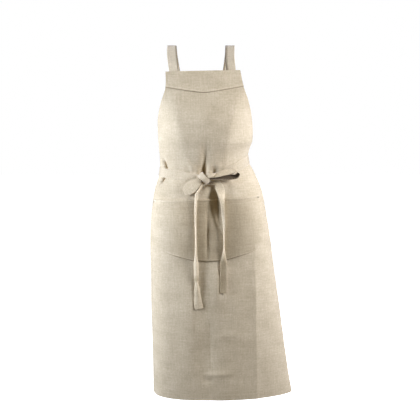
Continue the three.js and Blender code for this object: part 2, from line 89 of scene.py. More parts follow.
RIGHT = [
    Side(-79, 108, -91, 35, 2),
    Side(-125, 118, -98.5, 42, 2.2),
    Side(-170, 134, -87, 55, 2.5),
    Side(-222, 146, -40, 70, 2.1),
    Side(-282, 148, -10, 88, 2.1),
    Side(-315, 138, 0, 104, 2.1),
    Side(-348, 139, 2, 138, 1.9),
    Side(-385, 158, 2, 145, 1.9),
    Side(-436, 179, 2, 139, 2.3),
    Side(-529, 196, 0, 129, 2.7),
    Side(-717, 223, -10, 114, 2.2),
    Side(-973, 260, -24, 101, 1.7),
    Side(-1063, 276, -28, 97, 1.6),
]

# Folds along a line from one point of the front to another, outwards where depth is above 0. start and end
# are (x, z), and peak is the height of the deepest place. right is the width on the +X side where it differs.
# A fold is found by x and z alone, so one at the side is on the cloth behind it too.
Fold = namedtuple("Fold", "name start peak end width depth power right", defaults=(2, None))
FOLDS = [
    Fold("knot crease", (3, -338), -396, (-6, -436), 9, -25),
    Fold("line above the crease", (10, -262), -354, (0, -398), 12, -8),
    Fold("ridge left of the crease", (-14, -280), -340, (-11, -372), 12, 2.4),
    Fold("ridge right of the crease", (30, -270), -330, (22, -366), 12, 1),
    Fold("dimple right of the knot", (36, -350), -380, (28, -404), 10.5, -10),
    Fold("pull left of the knot", (-52, -325), -368, (-22, -392), 8, 2.2),
    Fold("side pinch over the tie", (-123, -332), -356, (-107, -380), 3.6, -24),
    Fold("side pinch under the tie", (-110, -376), -395, (-134, -422), 3.6, -25),
    Fold("drape under the left strap", (-94, -130), -235, (-27, -400), 28, 7, 1.6),
    Fold("drape under the right strap", (108, -130), -230, (44, -390), 28, 7, 1.6),
    Fold("valley under the knot", (16, -395), -520, (10, -660), 14, -4),
    Fold("skirt ridge", (42, -600), -730, (38, -900), 26, 4),
    Fold("skirt valley", (12, -760), -940, (8, -1120), 30, -5),
    Fold("side crease", (150, -500), -760, (170, -1400), 24, 6.5, 1),
    Fold("pocket seam", (12, -466), -570, (13, -660), 5, -4),
    Fold("flank between the tails", (40, -610), -682, (36, -800), 28, 6.5, right=15),
    Fold("drape left of the left tail", (-36, -640), -740, (-34, -1000), 34, 4, right=14),
    Fold("hollow beside the right tail", (42, -396), -466, (51, -572), 24, -21, right=8),
    Fold("hollow behind the knot", (24, -386), -401, (30, -420), 13, -8),
]

# Creases from packing and from the knot's pull: sharp ridges and grooves along lines on the front
Crease = namedtuple("Crease", "name start end width depth")
CREASES = [
    Crease("fold across the skirt", (-6, -986), (102, -980), 7, 2.4),
    Crease("dip under the fold", (-8, -1001), (34, -1003), 8, -2),
    Crease("fold down the skirt", (20, -806), (23, -978), 5, -1.8),
    Crease("ridge below the left end", (-11, -786), (-15, -920), 8, 1.3),
    Crease("faint fold across the skirt", (36, -866), (120, -860), 6, 1.1),
    Crease("pull to the left of the knot", (-54, -336), (-4, -380), 6, 2.4),
    Crease("pull to the right of the knot", (84, -312), (24, -376), 8, 2),
]
CREASE_FADE = 0.25

# Gathers at the waist, deepest beside the knot
GATHER_Z = -382
GATHER_REACH = 45
GATHER_PITCH = 31
GATHER_DEPTH = 2.5
GATHER_FADE = 80
GATHER_LEAST = 0.2
GATHER_SWAY = 9
GATHER_SWAY_LENGTH = 47
GATHER_SLANT = 0.12


def smooth(t):
    t = np.clip(t, 0, 1)
    return t * t * (3 - 2 * t)


def lerp(a, b, t):
    return a + (b - a) * t


def bell(x):
    return np.exp(-(x**2))


def unit(vectors):
    return vectors / np.linalg.norm(vectors, axis=-1, keepdims=True)


def signed_power(value, exponent):
    return np.sign(value) * np.abs(value) ** exponent


# Cubic interpolation of every column of a table at a height
def row_at(table, z):
    last = len(table) - 1
    i = 0
    while i < last - 1 and z < table[i + 1].z:
        i += 1
    a, b = np.array(table[i], float), np.array(table[i + 1], float)
    before = np.array(table[max(i - 1, 0)], float)
    after = np.array(table[min(i + 2, last)], float)
    span = b[0] - a[0]
    t = (z - a[0]) / span
    slope_a = (b - before) / (b[0] - before[0]) * span
    slope_b = (after - a) / (after[0] - a[0]) * span
    rise = b - a
    bend = 3 * rise - 2 * slope_a - slope_b
    return type(table[0])(*(a + t * (slope_a + t * (bend + t * (slope_a + slope_b - 2 * rise)))))


# Half of a section: points from the middle of the front round to the back, and the length along them
Half = namedtuple("Half", "x y length edge_length")
LAST_TURN = 178
TURN_STEPS = 361
TURN = np.radians(np.linspace(0, LAST_TURN, TURN_STEPS))


def half_section(front, side):
    edge = math.radians(side.edge)
    exponent = 2 / side.square
    short = min(edge, math.pi / 2)
    scale_x = (side.x - front.x) / math.sin(short) ** exponent
    scale_y = (side.y - front.y) / (1 - signed_power(math.cos(short), exponent))
    cosine = signed_power(np.cos(TURN), exponent)
    x = front.x + scale_x * np.sin(TURN) ** exponent
    y = np.where(cosine >= 0, front.y + scale_y * (1 - cosine), side.y - (BACK_Y - side.y) * cosine)
    length = np.concatenate([[0], np.cumsum(np.hypot(np.diff(x), np.diff(y)))])
    return Half(x, y, length, float(np.interp(edge, TURN, length)))


SECTION_STEP = 0.5
section_cache = {}


def section(z):
    key = round(z / SECTION_STEP)
    if key not in section_cache:
        height = key * SECTION_STEP
        front = row_at(FRONT, height)
        halves = [half_section(front, row_at(table, height)) for table in (LEFT, RIGHT)]
        section_cache[key] = halves
    return section_cache[key]


# The half of a section on one side: the left one where side is below 0
def half_at(side, z):
    return section(z)[0 if side < 0 else 1]


# The smooth surface at distances s along the sections from the middle of the front, at heights z
def smooth_points(s, z):
    s, z = np.broadcast_arrays(np.asarray(s, float), np.asarray(z, float))
    points = np.zeros(s.shape + (3,))
    for i in np.ndindex(s.shape):
        half = half_at(s[i], z[i])
        away = abs(s[i])
        points[i] = (np.interp(away, half.length, half.x), np.interp(away, half.length, half.y), z[i])
    return points


NORMAL_STEP = 1.5


def smooth_normals(s, z):
    along = smooth_points(np.asarray(s) + NORMAL_STEP, z) - smooth_points(np.asarray(s) - NORMAL_STEP, z)
    return unit(np.stack([along[..., 1], -along[..., 0], np.zeros(along.shape[:-1])], -1))


def edge_length(side, z):
    return half_at(side, z).edge_length


def fold_depth(x, z):
    depth = np.zeros(np.shape(z))
    for fold in FOLDS:
        (top_x, top_z), (end_x, end_z) = fold.start, fold.end
        outer = np.where(z > fold.peak, top_z, end_z)
        fade = smooth((z - outer) / (fold.peak - outer)) * ((z <= top_z) & (z >= end_z))
        line_x = lerp(top_x, end_x, (z - top_z) / (end_z - top_z))
        width = np.where(x < line_x, fold.width, fold.right or fold.width)
        depth += fold.depth * fade * np.exp(-((np.abs(x - line_x) / width) ** fold.power))
    return depth


def gather_depth(s, z):
    depth = bell((z - GATHER_Z) / GATHER_REACH) * GATHER_DEPTH
    depth = depth * lerp(GATHER_LEAST, 1, bell(s / GATHER_FADE))
    swayed = s + GATHER_SWAY * np.sin(s / GATHER_SWAY_LENGTH) + GATHER_SLANT * (z - GATHER_Z) * np.sign(s)
    return -depth * (0.5 + 0.5 * np.cos(2 * math.pi * swayed / GATHER_PITCH))


def crease_depth(x, z):
    depth = np.zeros(np.shape(z))
    for crease in CREASES:
        (x0, z0), (x1, z1) = crease.start, crease.end
        length = math.hypot(x1 - x0, z1 - z0)
        along = ((x - x0) * (x1 - x0) + (z - z0) * (z1 - z0)) / length**2
        away = np.abs((x - x0) * (z1 - z0) - (z - z0) * (x1 - x0)) / length
        fade = smooth(along / CREASE_FADE) * smooth((1 - along) / CREASE_FADE)
        depth += crease.depth * fade * np.exp(-away / crease.width)
    return depth


# Soft unevenness of worn linen: long drapes, and shallow crumples that lie across
Wrinkle = namedtuple("Wrinkle", "across down depth seed")
WRINKLES = [
    Wrinkle(85, 120, 1.5, 3.1),
    Wrinkle(38, 150, 0.75, 11.7),
    Wrinkle(70, 22, 0.36, 27.3),
    Wrinkle(30, 38, 0.35, 33.3),
    Wrinkle(16, 19, 0.18, 41.9),
]


def wrinkle_depth(s, z):
    depth = np.zeros(np.shape(s))
    for i in np.ndindex(np.shape(s)):
        for w in WRINKLES:
            depth[i] += w.depth * noise.noise(Vector((s[i] / w.across, z[i] / w.down, w.seed)))
    return depth


# Waist ties: where they come out of the knot, and the heights of their middle in front, at the side and at
# the panel's edge. over is how far out a tie lies where the two cross on the back.
Tie = namedtuple("Tie", "name sign knot_x front_z side_z edge_z over")
TIES = [
    Tie("waist_tie_left", -1, -7, -390, -379, -371, 6),
    Tie("waist_tie_right", 1, 19, -388, -341, -356, -1.5),
]


def tie_height(tie, distance):
    half = half_at(tie.sign, tie.side_z)
    side_length = float(np.interp(math.pi / 2, TURN, half.length))
    around = smooth(distance / side_length)
    behind = smooth((distance - side_length) / (half.edge_length - side_length))
    return lerp(tie.front_z, tie.side_z, around) + (tie.edge_z - tie.side_z) * behind


# The ties hold the cloth down under them
PRESS_HALF = 14
PRESS_FADE = 9
PRESS_DEPTH = -0.8


def press_down(s, z, depth):
    line = np.where(s < 0, tie_height(TIES[0], -s), tie_height(TIES[1], s))
    held = smooth(1 - (np.abs(z - line) - PRESS_HALF) / PRESS_FADE)
    return lerp(depth, np.minimum(depth, PRESS_DEPTH), held)


# The bib hangs a little lower on the left
BIB_TILT = 0.019
BIB_TILT_FROM = -210


# The middle of the panel's wall, pushed out by a distance
def cloth_points(s, z, out=0.0):
    s, z = np.broadcast_arrays(np.asarray(s, float), np.asarray(z, float))
    points = smooth_points(s, z)
    x = points[..., 0]
    depth = fold_depth(x, z) + gather_depth(s, z) + crease_depth(x, z) + wrinkle_depth(s, z)
    depth = press_down(s, z, depth) + out
    points[..., 2] += BIB_TILT * x * smooth((z - BIB_TILT_FROM) / (BIB_TOP_Z - BIB_TILT_FROM))
    return points + smooth_normals(s, z) * depth[..., None]


def grid_normals(points):
    down, across = np.gradient(points, axis=0), np.gradient(points, axis=1)
    return unit(np.cross(down, across))


def add_to_scene(name, data):
    obj = bpy.data.objects.new(name, data)
    bpy.context.scene.collection.objects.link(obj)
    return obj


# Edges sharper than these angles, in degrees, are shaded as edges
WALL_SHARP = 40
STRAP_SHARP = 50


def new_object(name, vertices, faces, uvs, material, sharp=WALL_SHARP):
    mesh = bpy.data.meshes.new(name)
    mesh.from_pydata((vertices * MM).tolist(), [], faces)
    layer = mesh.uv_layers.new(name="cloth")
    corners = np.zeros(len(mesh.loops), np.int32)
    mesh.loops.foreach_get("vertex_index", corners)
    layer.data.foreach_set("uv", (uvs[corners] * MM).astype(np.float32).ravel())
    mesh.polygons.foreach_set("use_smooth", [True] * len(mesh.polygons))
    mesh.materials.append(material)
    mesh.validate()
    mesh.set_sharp_from_angle(angle=math.radians(sharp))
    return add_to_scene(name, mesh)


# A closed wall of cloth on both sides of a grid of points. front and back are its thickness each way.
def cloth_wall(name, points, uvs, front, back, material):
    rows, columns = points.shape[:2]
    normal = grid_normals(points)
    faced = points + normal * np.broadcast_to(front, (rows, columns))[..., None]
    lined = points - normal * np.broadcast_to(back, (rows, columns))[..., None]
    vertices = np.concatenate([faced.reshape(-1, 3), lined.reshape(-1, 3)])
    index = np.arange(rows * columns).reshape(rows, columns)
    layer = rows * columns
    a, b, c, d = index[:-1, :-1], index[:-1, 1:], index[1:, 1:], index[1:, :-1]
    faces = np.stack([a, d, c, b], -1).reshape(-1, 4).tolist()
    faces += (np.stack([a, b, c, d], -1) + layer).reshape(-1, 4).tolist()
    rim = [index[0, :], index[:, -1], index[-1, ::-1], index[::-1, 0]]
    for line in rim:
        for p, q in zip(line[:-1], line[1:]):
            faces.append([int(p), int(q), int(q) + layer, int(p) + layer])
    return new_object(name, vertices, faces, np.concatenate([uvs.reshape(-1, 2)] * 2), material)


# Materials
LINEN_COLOUR = (0.558, 0.45, 0.284)
SLUB_PALE = (0.66, 0.545, 0.362)
SLUB_DARK = (0.46, 0.365, 0.221)
SHEEN_COLOUR = (1, 0.96, 0.92)
SHEEN_ROUGHNESS = 0.5
SPECULAR = 0.25

# Painted light and shade change red, green and blue by these powers, so painted shade is browner
PAINTED_LIGHT_POWER = (1, 1.12, 1.35)

# Uneven yarn: how long its streaks are across and down the cloth, and their share in the mix
Streak = namedtuple("Streak", "across down detail share")
STREAKS = [
    Streak(2.8, 45, 2, 0.24),
    Streak(60, 3.2, 2, 0.2),
    Streak(5.5, 5, 2, 0.28),
    Streak(60, 38, 3, 0.28),
]
STREAK_ROUGHNESS = 0.6
SLUB_DARK_AT = 0.37
SLUB_MIDDLE_AT = 0.5
SLUB_PALE_AT = 0.63

# Weave, as a relief whose height is in metres. A wave texture of scale 1 repeats at WAVE_PERIOD.
THREAD_PITCH = 0.9
THREAD_SHARE = 0.6
THREAD_WANDER = 1.2
THREAD_WANDER_SCALE = 0.3
RELIEF_STRENGTH = 0.5
RELIEF_HEIGHT = 0.0004
ROUGHEST = 0.96
SLUB_ROUGHNESS = -0.12
WAVE_PERIOD = math.pi / 10
MM_PER_METRE = 1000


def add_node(tree, kind, **values):
    node = tree.nodes.new(kind)
    for key, value in values.items():
        setattr(node, key, value)
    return node


def maths(tree, operation, first, second):
    node = add_node(tree, "ShaderNodeMath", operation=operation)
    for socket, value in zip(node.inputs, (first, second)):
        if isinstance(value, (int, float)):
            socket.default_value = value
        else:
            tree.links.new(value, socket)
    return node.outputs["Value"]


def streak_value(tree, cloth, streak):
    stretch = add_node(tree, "ShaderNodeMapping")
    stretch.inputs["Scale"].default_value = (MM_PER_METRE / streak.across, MM_PER_METRE / streak.down, 1)
    tree.links.new(cloth, stretch.inputs["Vector"])
    texture = add_node(tree, "ShaderNodeTexNoise")
    texture.inputs["Scale"].default_value = 1
    texture.inputs["Detail"].default_value = streak.detail
    texture.inputs["Roughness"].default_value = STREAK_ROUGHNESS
    tree.links.new(stretch.outputs["Vector"], texture.inputs["Vector"])
    return maths(tree, "MULTIPLY", texture.outputs["Fac"], streak.share)


def slub_value(tree, cloth):
    total = streak_value(tree, cloth, STREAKS[0])
    for streak in STREAKS[1:]:
        total = maths(tree, "ADD", total, streak_value(tree, cloth, streak))
    return total


def slub_colour(tree, slub, tint):
    ramp = add_node(tree, "ShaderNodeValToRGB")
    stops = ramp.color_ramp.elements
    stops[0].position = SLUB_DARK_AT
    stops[1].position = SLUB_PALE_AT
    stops.new(SLUB_MIDDLE_AT)
    for stop, colour in zip(stops, (SLUB_DARK, LINEN_COLOUR, SLUB_PALE)):
        stop.color = [channel * tint for channel in colour] + [1]
    tree.links.new(slub, ramp.inputs["Fac"])
    return ramp.outputs["Color"]


# A colour darkened or lightened by the painted light and shade that the cloth carries
def with_painted_light(tree, colour):
    tone = add_node(tree, "ShaderNodeAttribute", attribute_name="tone")
    powers = add_node(tree, "ShaderNodeCombineXYZ")
    for socket, power in zip(powers.inputs, PAINTED_LIGHT_POWER):
        tree.links.new(maths(tree, "POWER", tone.outputs["Fac"], power), socket)
    shade = add_node(tree, "ShaderNodeVectorMath", operation="MULTIPLY")
    tree.links.new(colour, shade.inputs[0])
    tree.links.new(powers.outputs["Vector"], shade.inputs[1])
    return shade.outputs["Vector"]


def threads(tree, cloth, direction):
    wave = add_node(tree, "ShaderNodeTexWave", wave_type="BANDS", bands_direction=direction)
    wave.inputs["Scale"].default_value = MM_PER_METRE * WAVE_PERIOD / THREAD_PITCH
    wave.inputs["Distortion"].default_value = THREAD_WANDER
    wave.inputs["Detail"].default_value = 1
    wave.inputs["Detail Scale"].default_value = THREAD_WANDER_SCALE
    tree.links.new(cloth, wave.inputs["Vector"])
    return wave.outputs["Fac"]


def weave_normal(tree, cloth, slub):
    weave = maths(tree, "MULTIPLY", threads(tree, cloth, "X"), threads(tree, cloth, "Y"))
    bump = add_node(tree, "ShaderNodeBump")
    bump.inputs["Strength"].default_value = RELIEF_STRENGTH
    bump.inputs["Distance"].default_value = RELIEF_HEIGHT
    relief = maths(tree, "ADD", maths(tree, "MULTIPLY", weave, THREAD_SHARE), slub)
    tree.links.new(relief, bump.inputs["Height"])
    return bump.outputs["Normal"]


# Cloth can carry painted light and shade, one value a point, that darkens or lightens its colour
def linen(name, tint=1.0, carries_painted_light=False, sheen=1.0):
    material = bpy.data.materials.new(name)
    material.use_nodes = True
    tree = material.node_tree
    tree.nodes.clear()
    output = add_node(tree, "ShaderNodeOutputMaterial")
    surface = add_node(tree, "ShaderNodeBsdfPrincipled")
    surface.inputs["Specular IOR Level"].default_value = SPECULAR
    surface.inputs["Sheen Weight"].default_value = sheen
    surface.inputs["Sheen Roughness"].default_value = SHEEN_ROUGHNESS
    surface.inputs["Sheen Tint"].default_value = (*SHEEN_COLOUR, 1)
    cloth = add_node(tree, "ShaderNodeUVMap", uv_map="cloth").outputs["UV"]
    slub = slub_value(tree, cloth)
    colour = slub_colour(tree, slub, tint)
    if carries_painted_light:
        colour = with_painted_light(tree, colour)
    tree.links.new(colour, surface.inputs["Base Color"])
    tree.links.new(weave_normal(tree, cloth, slub), surface.inputs["Normal"])
    rough = maths(tree, "ADD", maths(tree, "MULTIPLY", slub, SLUB_ROUGHNESS), ROUGHEST)
    tree.links.new(rough, surface.inputs["Roughness"])
    tree.links.new(surface.outputs["BSDF"], output.inputs["Surface"])
    return material


LINEN = linen("linen", sheen=0.2)
LINEN_STRAP = linen("linen_strap", carries_painted_light=True, sheen=0.55)
# Painted light: the bow's linen is a lighter copy that makes up in colour for its weaker sheen
LINEN_BOW = linen("linen_bow", 1.12, carries_painted_light=True, sheen=0.12)
LINEN_SEWN = linen("linen_sewn", carries_painted_light=True, sheen=0.2)
THREAD = linen("thread", 1.12)
DARK_THREAD = linen("dark_thread", 0.4)


def place(obj, node_name):
    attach(obj, "root")
    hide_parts(node_name)
    return obj


# Painted light and shade for a piece, one value a point: below 1 is painted shade, above 1 painted light
def set_painted_light(obj, painted_lights):
    shades = obj.data.attributes.new("tone", "FLOAT", "POINT")
    shades.data.foreach_set("value", np.asarray(painted_lights, np.float32).ravel())


# Sewing: short stitches of thread along lines on a piece, each line its points and the way they face
STITCH_PITCH = 3.2
STITCH_LENGTH = 2.3
STITCH_RADIUS = 0.34
STITCH_SINK = 0.25
STITCH_SIDES = 4
STITCH_SHOULDER = 0.22


def along_line(points):
    return np.concatenate([[0], np.cumsum(np.linalg.norm(np.diff(points, axis=0), axis=1))])


def at_lengths(values, along, lengths):
    return np.stack([np.interp(lengths, along, values[:, k]) for k in range(3)], -1)


def stitch_row(points, facing):
    along = along_line(points)
    start = np.arange(0.5 * STITCH_PITCH, along[-1] - STITCH_LENGTH, STITCH_PITCH)
    head, tail = at_lengths(points, along, start), at_lengths(points, along, start + STITCH_LENGTH)
    up = unit(at_lengths(facing, along, start))
    side = unit(np.cross(tail - head, up))
    turn = np.arange(STITCH_SIDES) * 2 * math.pi / STITCH_SIDES
    rim = side[:, None] * np.cos(turn)[:, None] + up[:, None] * np.sin(turn)[:, None]
    sunk = up * STITCH_SINK
    first = lerp(head, tail, STITCH_SHOULDER)[:, None] + rim * STITCH_RADIUS
    second = lerp(head, tail, 1 - STITCH_SHOULDER)[:, None] + rim * STITCH_RADIUS
    return np.concatenate([(head - sunk)[:, None], first, second, (tail - sunk)[:, None]], 1)


def sew(name, lines, material):
    rows = np.concatenate([stitch_row(points, facing) for points, facing in lines])
    per_stitch = 2 * STITCH_SIDES + 2
    pattern = []
    for k in range(STITCH_SIDES):
        j = (k + 1) % STITCH_SIDES
        pattern.append([0, 1 + k, 1 + j])
        pattern.append([1 + k, 1 + STITCH_SIDES + k, 1 + STITCH_SIDES + j])
        pattern.append([1 + k, 1 + STITCH_SIDES + j, 1 + j])
        pattern.append([1 + STITCH_SIDES + k, per_stitch - 1, 1 + STITCH_SIDES + j])
    faces = np.arange(len(rows))[:, None, None] * per_stitch + np.array(pattern)[None]
    vertices = rows.reshape(-1, 3)
    uvs = vertices[:, [0, 2]]
    obj = new_object(name, vertices, faces.reshape(-1, 3).tolist(), uvs, material)
    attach(obj, "root")
    return obj


# Panel: bib and skirt in one cut of cloth
PANEL_ROWS = 228
PANEL_COLUMNS = 214

# Rows and columns stand closer near the knot and the pinched side
Closer = namedtuple("Closer", "middle reach gain")
WAIST_Z = -372
CLOSER_ROWS = [Closer(WAIST_Z, 60, 1.5)]
CLOSER_COLUMNS = [Closer(0, 60, 1.3), Closer(-142, 22, 1.8)]
SPREAD_STEPS = 2001


def spread(start, end, count, closer):
    line = np.linspace(start, end, SPREAD_STEPS)
    crowd = 1 + sum(c.gain * bell((line - c.middle) / c.reach) for c in closer)
    passed = np.concatenate([[0], np.cumsum((crowd[1:] + crowd[:-1]) / 2)])
    return np.interp(np.linspace(0, passed[-1], count), passed, line)


def panel_grid():
    heights = spread(BIB_TOP_Z, HEM_Z, PANEL_ROWS, CLOSER_ROWS)
    waist = [edge_length(-1, WAIST_Z), edge_length(1, WAIST_Z)]
    share = spread(-waist[0], waist[1], PANEL_COLUMNS, CLOSER_COLUMNS)
    share = np.where(share < 0, share / waist[0], share / waist[1])
    edges = np.array([[edge_length(-1, z), edge_length(1, z)] for z in heights])
    s = np.where(share[None, :] < 0, share[None, :] * edges[:, :1], share[None, :] * edges[:, 1:])
    z = np.repeat(heights[:, None], PANEL_COLUMNS, 1)
    to_edge = np.where(s < 0, edges[:, :1], edges[:, 1:]) - np.abs(s)
    return s, z, to_edge


# A line of sewing on the panel's front, and on its back too where behind says how deep it lies there
def cloth_seam(s, z, out, behind=None):
    facing = smooth_normals(s, z)
    lines = [(cloth_points(s, z, out), facing)]
    if behind is not None:
        lines.append((cloth_points(s, z, -behind), -facing))
    return lines


SIDE_SEAM = 7.5
SIDE_SEAM_TOP = 4
SIDE_SEAM_FOOT = 3
SIDE_SEAM_POINTS = 320
HEM_SEAM = 18
HEM_SEAM_INSET = 2
HEM_SEAM_POINTS = 300
HEM_STEP = 2


def panel_seams():
    lines = []
    z = np.linspace(BIB_TOP_Z - SIDE_SEAM_TOP, HEM_Z + SIDE_SEAM_FOOT, SIDE_SEAM_POINTS)
    for sign in (-1, 1):
        s = sign * (np.array([edge_length(sign, height) for height in z]) - SIDE_SEAM)
        lines += cloth_seam(s, z, PANEL_WALL / 2, HEM_WALL - PANEL_WALL / 2)
    low = HEM_Z + HEM_SEAM
    left, right = HEM_SEAM_INSET - edge_length(-1, low), edge_length(1, low) - HEM_SEAM_INSET
    s = np.linspace(left, right, HEM_SEAM_POINTS)
    return lines + cloth_seam(s, np.full(len(s), low), PANEL_WALL / 2, HEM_WALL - PANEL_WALL / 2)


def make_panel():
    s, z, to_edge = panel_grid()
    points = cloth_points(s, z)
    low_hem = smooth((HEM_Z + HEM_HEIGHT - z) / HEM_STEP + 0.5)
    hem = np.maximum(low_hem, smooth((SIDE_HEM - to_edge) / HEM_STEP + 0.5))
    back = PANEL_WALL / 2 + (HEM_WALL - PANEL_WALL) * hem
    uvs = np.stack([s, z], -1)
    panel = cloth_wall("apron_panel_cloth", points, uvs, PANEL_WALL / 2, back, LINEN)
    seams = sew("apron_panel_stitches", panel_seams(), THREAD)
    return place(panel, "apron_panel")


# Band turned down along the bib's top, deeper at the middle
BAND_SIDE = 47
BAND_DIP = 19
BAND_SOFT = 0.12
BAND_SEAM = 3
BAND_SEAM_SHARE = 0.985
BAND_COLUMNS = 110
BAND_ROWS = 20
BAND_LOWER_ROWS = 10
BAND_LOWER_AT = 0.9

# Painted light on a turned edge: a painted highlight, and a painted line of shadow along the seam
EDGE_SHADOW = 0.45
EDGE_HIGHLIGHT = 1.12
EDGE_REACH = 1.7
EDGE_HIGHLIGHT_AT = 4.5


def edge_painted_light(distance):
    dark = (EDGE_SHADOW - 1) * bell(distance / EDGE_REACH)
    return dark + (EDGE_HIGHLIGHT - 1) * bell((distance - EDGE_HIGHLIGHT_AT) / EDGE_REACH)


def make_band():
    t = np.linspace(-1, 1, BAND_COLUMNS)
    lower = np.linspace(BAND_LOWER_AT, 1, BAND_LOWER_ROWS)
    rows = np.concatenate([np.linspace(0, lower[0], BAND_ROWS)[:-1], lower])
    height = BAND_SIDE + BAND_DIP * (1 - np.sqrt(t**2 + BAND_SOFT**2))
    z = BIB_TOP_Z - rows[:, None] * height[None, :]
    edges = np.array([[edge_length(side, low) for side, low in zip(t, line)] for line in z])
    s = t[None, :] * edges
    out = PANEL_WALL / 2 + REST_GAP + BAND_WALL / 2
    points = cloth_points(s, z, out)
    uvs = np.stack([s, z], -1)
    band = cloth_wall("bib_band_cloth", points, uvs, BAND_WALL / 2, BAND_WALL / 2, LINEN_SEWN)
    # Painted shadow along the band's lower edge, with a painted highlight above it
    tone = 1 + edge_painted_light(z - z[-1])
    set_painted_light(band, np.concatenate([tone.ravel()] * 2))
    lines = []
    for row in (z[0] - BAND_SEAM, z[-1] + BAND_SEAM):
        lines += cloth_seam(s[0] * BAND_SEAM_SHARE, row, out + BAND_WALL / 2)
    seams = sew("bib_band_stitches", lines, THREAD)
    return place(band, "bib_band")


# Patch pocket with curved lower corners and a seam down its middle. Top and bottom are heights at its left
# and right. rise lifts the lower edge, at a share of the way from the middle to a side.
POCKET_MIDDLE = -20
POCKET_HALF = 172
POCKET_TOP = (-461, -446)
POCKET_BOTTOM = (-638, -635)
POCKET_BELLY = 2.0
POCKET_SEAM = -17
POCKET_RIM = 3
POCKET_RIM_WALL = 1.8
Corner = namedtuple("Corner", "share rise")
POCKET_CORNER = [
    Corner(0, 0),
    Corner(0.3, 3),
    Corner(0.5, 12),
    Corner(0.7, 21),
    Corner(0.85, 32),
    Corner(0.95, 46),
    Corner(1, 66),
]


def pocket_lines(s):
    share = (s - POCKET_MIDDLE) / POCKET_HALF
    rise = np.interp(np.abs(share), [c.share for c in POCKET_CORNER], [c.rise for c in POCKET_CORNER])
    across = share / 2 + 0.5
    return lerp(*POCKET_TOP, across), lerp(*POCKET_BOTTOM, across) + rise


# The middle of the pocket's wall at distances s and shares of its height, pushed out by a distance
def pocket_points(s, share, out=0.0):
    top, bottom = pocket_lines(s)
    start = np.where(s < POCKET_SEAM, POCKET_MIDDLE - POCKET_HALF, POCKET_SEAM)
    end = np.where(s < POCKET_SEAM, POCKET_SEAM, POCKET_MIDDLE + POCKET_HALF)
    swell = np.sin(math.pi * (s - start) / (end - start)) * np.cos(math.pi / 2 * share)
    rest = PANEL_WALL / 2 + REST_GAP + POCKET_WALL / 2
    return cloth_points(s, lerp(top, bottom, share), rest + POCKET_BELLY * swell + out)


def pocket_line(s, share, lift=0.0):
    top, bottom = pocket_lines(s)
    points = pocket_points(s, share, POCKET_WALL / 2 + lift)
    return points, smooth_normals(s, lerp(top, bottom, share))


POCKET_INSET = 3
POCKET_HEM = 17
POCKET_TWIN = 3
POCKET_SEAM_POINTS = 200
POCKET_SIDE_POINTS = 80
POCKET_SIDE_START = 0.01


# Lines of sewing: round the sides and the lower edge, under the top, and two down the middle
def pocket_seams():
    line = POCKET_MIDDLE + np.linspace(-1, 1, POCKET_SEAM_POINTS) * (POCKET_HALF - POCKET_INSET)
    top, bottom = pocket_lines(line)
    height = top - bottom
    share = np.linspace(POCKET_SIDE_START, 1, POCKET_SIDE_POINTS)
    seams = [pocket_line(line, 1 - POCKET_INSET / height), pocket_line(line, POCKET_HEM / height)]
    for s in (line[0], line[-1], POCKET_SEAM - POCKET_TWIN, POCKET_SEAM + POCKET_TWIN):
        low = float(np.interp(s, line, 1 - POCKET_INSET / height))
        seams.append(pocket_line(np.full(len(share), s), share * low))
    return seams


# Bars of close dark stitches at the pocket's upper corners
TACK_START = 1
TACK_LENGTH = 10
TACK_POINTS = 12
TACK_LINES = 9
TACK_WIDTH = 6
TACK_LIFT = 1.8


def pocket_tacks():
    bars = []
    for sign in (-1, 1):
        corner = POCKET_MIDDLE + sign * (POCKET_HALF - POCKET_INSET)
        for s in corner + np.linspace(-0.5, 0.5, TACK_LINES) * TACK_WIDTH:
            top, bottom = pocket_lines(s)
            share = np.linspace(TACK_START, TACK_LENGTH, TACK_POINTS) / (top - bottom)
            bars.append(pocket_line(np.full(len(share), s), share, TACK_LIFT))
    return bars


# The pocket's rows stand closer at its upper and lower edges
POCKET_COLUMNS = 190
POCKET_ROWS = 80
POCKET_UPPER_AT = 0.06
POCKET_UPPER_ROWS = 9
POCKET_LOWER_AT = 0.95
POCKET_LOWER_ROWS = 12

# Painted light on the pocket: a painted highlight along the top rim, a painted shadow line along the lower
# edge that fades out towards the corners, a slight painted shade where that line is, and painted shade over
# the middle
TOP_HIGHLIGHT = 1.16
LINE_FADE_FROM = 0.5
LINE_FADE_TO = 0.85
MIDDLE_SHADE = 0.22
MIDDLE_SHADE_AT = 14
MIDDLE_SHADE_REACH = 116
MIDDLE_SHADE_POWER = 4
POCKET_SHADE = 0.97


